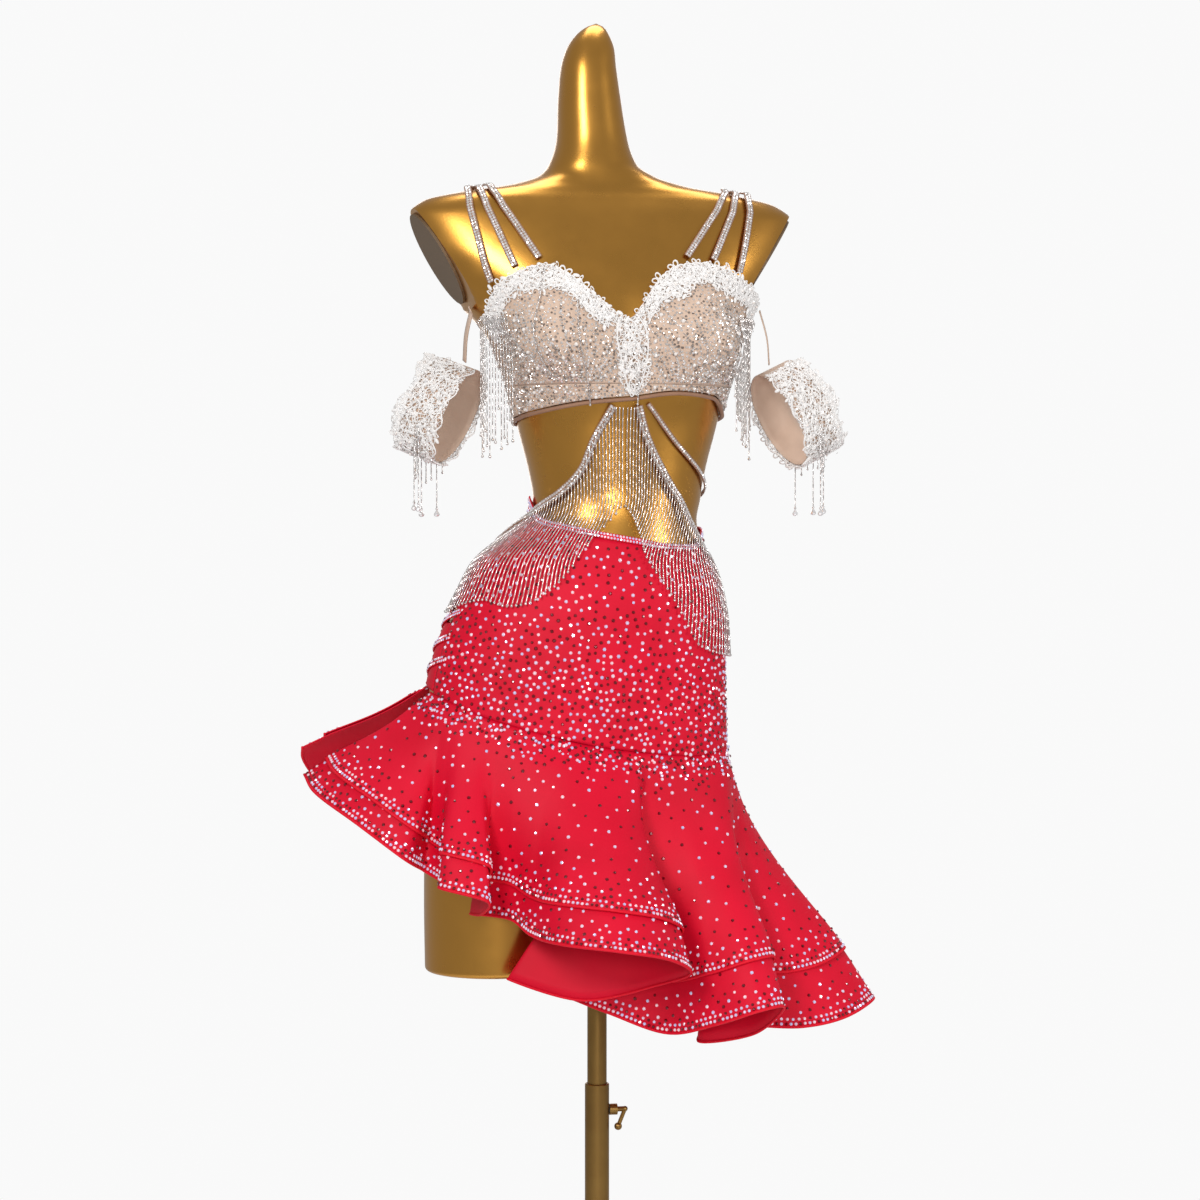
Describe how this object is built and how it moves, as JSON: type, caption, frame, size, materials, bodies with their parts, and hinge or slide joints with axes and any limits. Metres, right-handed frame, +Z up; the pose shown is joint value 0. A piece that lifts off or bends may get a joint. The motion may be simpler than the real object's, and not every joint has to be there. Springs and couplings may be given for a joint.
{
  "type": "salsa dance dress on a dress form",
  "caption": "Salsa dress in bra-and-skirt style with a stoned bra top, lace drop sleeves, bead fringe and a tiered asymmetric flounce skirt, worn by a headless form on a pole stand.",
  "frame": {"origin": "middle of the underside of the round base plate, on the floor and under the pole", "axes": "+Z up along the pole, -Y the way the dress's front faces, +X the wearer's left"},
  "size_m": [0.6516, 0.5685, 1.7],
  "materials": {
    "brass_stand": "antique brass plated steel tube, satin",
    "gold_form": "satin gold metallic lacquer on a moulded form",
    "arm_plate": "satin bronze lacquer",
    "stoned_mesh": "nude stretch mesh set with clear stones and pearls",
    "nude_edging": "nude satin binding",
    "white_lace": "white corded lace",
    "nude_elastic": "nude elastic",
    "stoned_strap": "nude strap set with two rows of clear stones",
    "bead_fringe": "clear and silver bugle beads on thread",
    "red_yoke": "scarlet stretch satin set with stones",
    "red_edging": "scarlet satin binding over a stiff edge",
    "red_flounce": "scarlet stretch satin, matt inside"
  },
  "bodies": {
    "stand": {"base_plate": "brass_stand", "outer_tube": "brass_stand", "clamp_boss": "brass_stand"},
    "figure": {"inner_tube": "brass_stand", "form_body": "gold_form", "arm_plate_right": "arm_plate", "arm_plate_left": "arm_plate", "cup_right": "stoned_mesh", "cup_left": "stoned_mesh", "band_right": "stoned_mesh", "band_left": "stoned_mesh", "band_back": "stoned_mesh", "band_edge": "nude_edging", "lace_neck_right": "white_lace", "lace_neck_left": "white_lace", "lace_centre": "white_lace", "sleeve_lace_right": "white_lace", "sleeve_lace_left": "white_lace", "sleeve_band_right": "nude_elastic", "sleeve_band_left": "nude_elastic", "sleeve_hanger_right": "nude_elastic", "sleeve_hanger_left": "nude_elastic", "fringe_strap_right": "stoned_strap", "fringe_strap_left": "stoned_strap", "thin_strap_left": "stoned_strap", "strap_right_inner": "stoned_strap", "strap_right_middle": "stoned_strap", "strap_right_outer": "stoned_strap", "strap_right_back": "stoned_strap", "strap_left_inner": "stoned_strap", "strap_left_middle": "stoned_strap", "strap_left_outer": "stoned_strap", "strap_left_back": "stoned_strap", "bead_fringe_right": "bead_fringe", "bead_fringe_left": "bead_fringe", "side_fringe_right": "bead_fringe", "side_fringe_left": "bead_fringe", "sleeve_fringe_right": "bead_fringe", "sleeve_fringe_left": "bead_fringe", "yoke_front": "red_yoke", "yoke_back": "red_yoke", "hip_inset": "red_yoke", "hip_lacing_1": "red_yoke", "hip_lacing_2": "red_yoke", "hip_lacing_3": "red_yoke", "waist_edge_front": "red_edging", "waist_edge_back": "red_edging", "hem_lower_front": "red_edging", "hem_lower_back": "red_edging", "hem_upper_front": "red_edging", "hem_upper_back": "red_edging", "flounce_lower_front": "red_flounce", "flounce_lower_back": "red_flounce", "flounce_upper_front": "red_flounce", "flounce_upper_back": "red_flounce"},
    "clamp": {"clamp_screw": "brass_stand"}
  },
  "joints": [
    {"name": "height_slide", "type": "slide", "parent": "stand", "child": "figure", "axis": [0, 0, 1], "range_m": [-0.1, 0.15]},
    {"name": "clamp_turn", "type": "hinge", "parent": "stand", "child": "clamp", "pos_m": [0.03, 0, 0.451], "axis": [1, 0, 0], "range_deg": [0, 360]}
  ]
}
